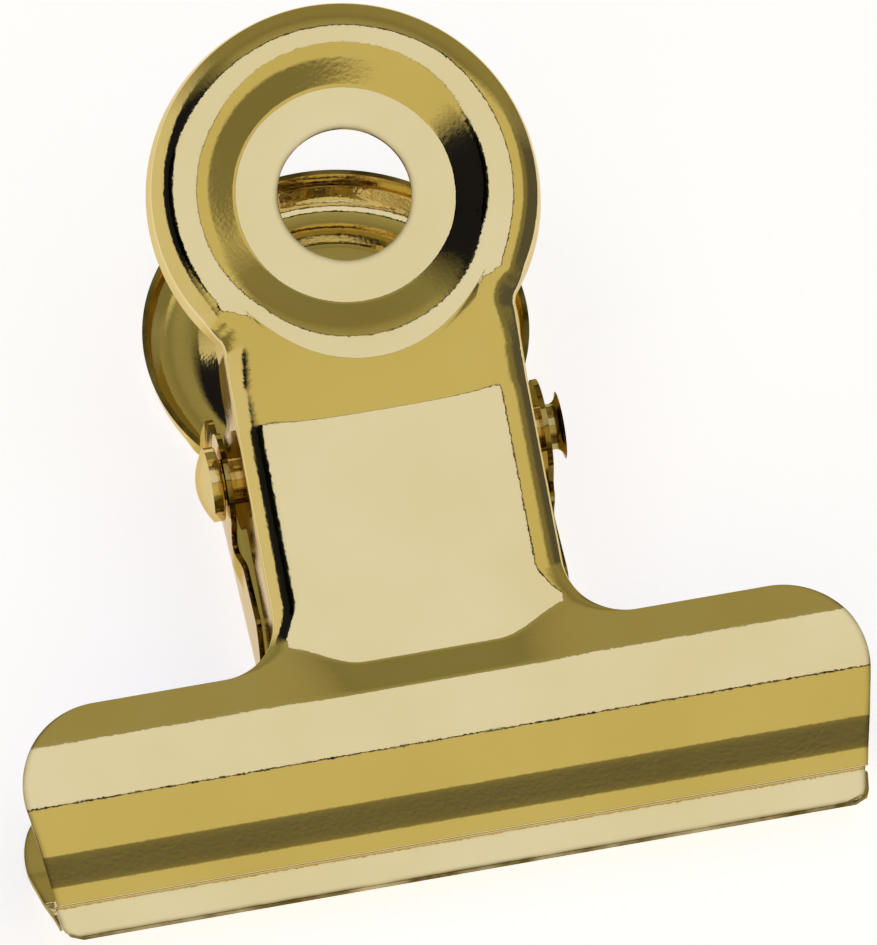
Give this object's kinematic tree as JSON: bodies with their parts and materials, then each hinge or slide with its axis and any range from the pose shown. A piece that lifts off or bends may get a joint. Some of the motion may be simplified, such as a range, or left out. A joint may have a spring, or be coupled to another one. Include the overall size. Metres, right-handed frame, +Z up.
{
  "type": "bulldog clip",
  "caption": "Sprung bulldog clip of pressed, brass-plated steel: wide stepped jaws, channel necks on a hinge rivet, and dished thumb discs with hanging holes.",
  "frame": {"origin": "on the surface that the clip lies on, under the middle of its box", "axes": "+X along the hinge, +Y from the jaws to the thumb discs, +Z up from the rear plate to the front plate"},
  "size_m": [0.0754, 0.0776, 0.0423],
  "materials": {
    "plated_steel": "bright brass plating",
    "rivet_steel": "bright brass plating",
    "spring_steel": "drawn wire"
  },
  "bodies": {
    "rear_plate": {"rear_plate": "plated_steel", "torsion_spring": "spring_steel"},
    "front_plate": {"front_plate": "plated_steel"},
    "hinge_pin": {"hinge_pin": "rivet_steel"}
  },
  "joints": [
    {"name": "jaw_hinge", "type": "hinge", "parent": "rear_plate", "child": "front_plate", "pos_m": [0, 0.00005, 0.0146], "axis": [-1, 0, 0], "range_deg": [0, 50], "stiffness_Nm_per_rad": 0.05, "springref_deg": -34.38, "deforming": ["torsion_spring"]},
    {"name": "rivet_turn", "type": "hinge", "parent": "rear_plate", "child": "hinge_pin", "pos_m": [0, 0.00005, 0.0146], "axis": [1, 0, 0], "continuous": true}
  ]
}
